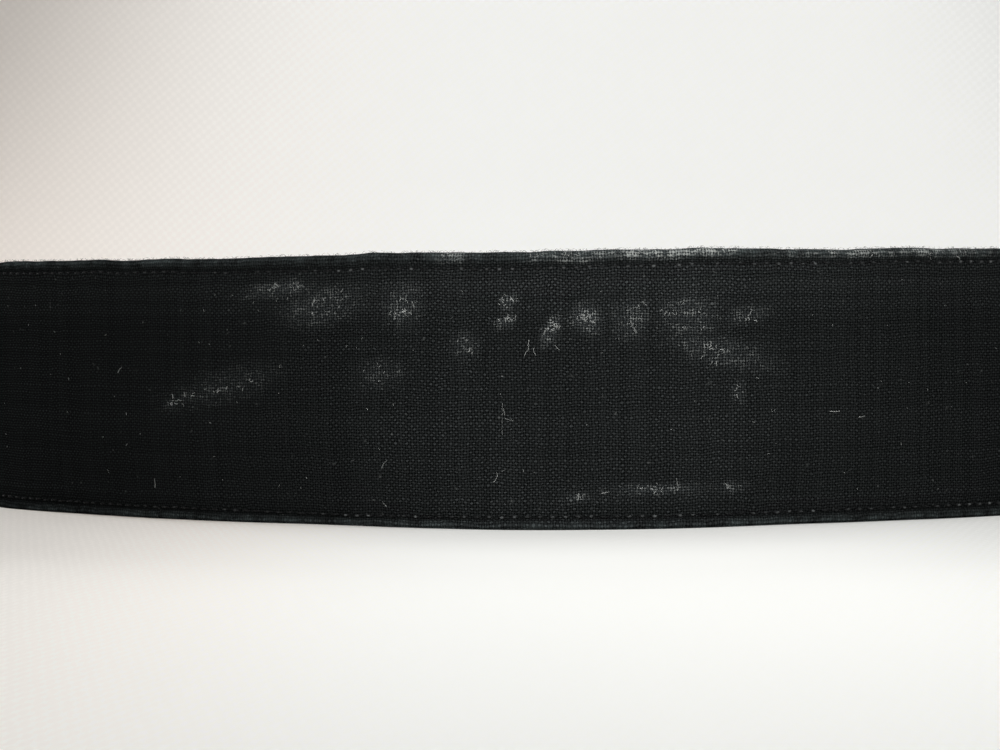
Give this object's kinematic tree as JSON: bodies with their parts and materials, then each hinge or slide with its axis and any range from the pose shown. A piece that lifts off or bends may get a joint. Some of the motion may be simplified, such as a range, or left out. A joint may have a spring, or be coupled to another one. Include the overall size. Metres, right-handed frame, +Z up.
{
  "type": "money belt",
  "caption": "Black cloth money belt with a hidden zip pocket on its inner face, webbing straps and a side-release buckle, standing open in a ring.",
  "frame": {"origin": "centre of the ring that the belt stands in, on the surface under its lower edge", "axes": "+Z up along the belt's width; the outer face seen from -Y is the middle stretch of the band; +X to its right"},
  "size_m": [0.3349, 0.3362, 0.05],
  "materials": {
    "outer_cloth": "plain-weave cotton, worn with pale chalky marks",
    "inner_cloth": "plain-weave cotton",
    "lining": "thin smooth lining",
    "interlining": "stiff non-woven",
    "thread": "polyester sewing thread",
    "zip_tape": "herringbone polyester tape",
    "zip_coil": "nylon monofilament",
    "metal": "black enamel over zinc alloy, worn at the edges",
    "webbing": "flat polypropylene webbing",
    "elastic": "braided elastic",
    "buckle": "moulded acetal, fine matte texture"
  },
  "bodies": {
    "band": {"outer_cloth": "outer_cloth", "interlining": "interlining", "pocket_lining": "lining", "inner_cloth": "inner_cloth", "topstitch_upper": "thread", "topstitch_lower": "thread", "zip_topstitch": "thread", "box_stitch_left": "thread", "box_stitch_right": "thread", "zip_tape_upper": "zip_tape", "zip_tape_lower": "zip_tape", "zip_coil_upper": "zip_coil", "zip_coil_lower": "zip_coil", "zip_start_stop": "metal", "zip_end_stop": "metal", "webbing_tab_left": "webbing", "webbing_tab_right": "webbing"},
    "slider": {"slider_body": "metal"},
    "pull": {"pull_tab": "metal"},
    "short_strap": {"strap_short": "webbing", "strap_short_stitch": "thread"},
    "socket": {"buckle_socket": "buckle"},
    "long_strap": {"strap_long": "webbing", "tail_stitch": "thread"},
    "keeper": {"elastic_keeper": "elastic"},
    "plug": {"buckle_plug": "buckle"},
    "upper_prong": {"prong_upper": "buckle"},
    "lower_prong": {"prong_lower": "buckle"}
  },
  "joints": [
    {"name": "zip_run", "type": "hinge", "parent": "band", "child": "slider", "pos_m": [0, 0, 0.025], "axis": [0, 0, -1], "range_deg": [0, 156]},
    {"name": "pull_swing", "type": "hinge", "parent": "slider", "child": "pull", "pos_m": [0.10404, -0.1189, 0.025], "axis": [0, 0, -1], "range_deg": [0, 170]},
    {"name": "short_strap_flex", "type": "hinge", "parent": "band", "child": "short_strap", "pos_m": [-0.03473, 0.15972, 0.025], "axis": [0, 0, 1], "range_deg": [-20, 20], "stiffness_Nm_per_rad": 0.02},
    {"name": "socket_swing", "type": "hinge", "parent": "short_strap", "child": "socket", "pos_m": [0, 0.16425, 0.025], "axis": [0, 0, 1], "range_deg": [-30, 30]},
    {"name": "long_strap_flex", "type": "hinge", "parent": "band", "child": "long_strap", "pos_m": [0.16316, 0.00974, 0.025], "axis": [0, 0, 1], "range_deg": [-15, 15], "stiffness_Nm_per_rad": 0.02},
    {"name": "keeper_slide", "type": "hinge", "parent": "long_strap", "child": "keeper", "pos_m": [0, 0, 0.025], "axis": [0, 0, 1], "range_deg": [-2.5, 15]},
    {"name": "plug_swing", "type": "hinge", "parent": "long_strap", "child": "plug", "pos_m": [0.11153, 0.12058, 0.025], "axis": [0, 0, 1], "range_deg": [-25, 25]},
    {"name": "upper_prong_squeeze", "type": "hinge", "parent": "plug", "child": "upper_prong", "pos_m": [0.10198, 0.12941, 0.0364], "axis": [-0.679, -0.7341, 0], "range_deg": [0, 7], "stiffness_Nm_per_rad": 0.3},
    {"name": "lower_prong_squeeze", "type": "hinge", "parent": "plug", "child": "lower_prong", "pos_m": [0.10198, 0.12941, 0.0136], "axis": [0.679, 0.7341, 0], "range_deg": [0, 7], "stiffness_Nm_per_rad": 0.3}
  ]
}
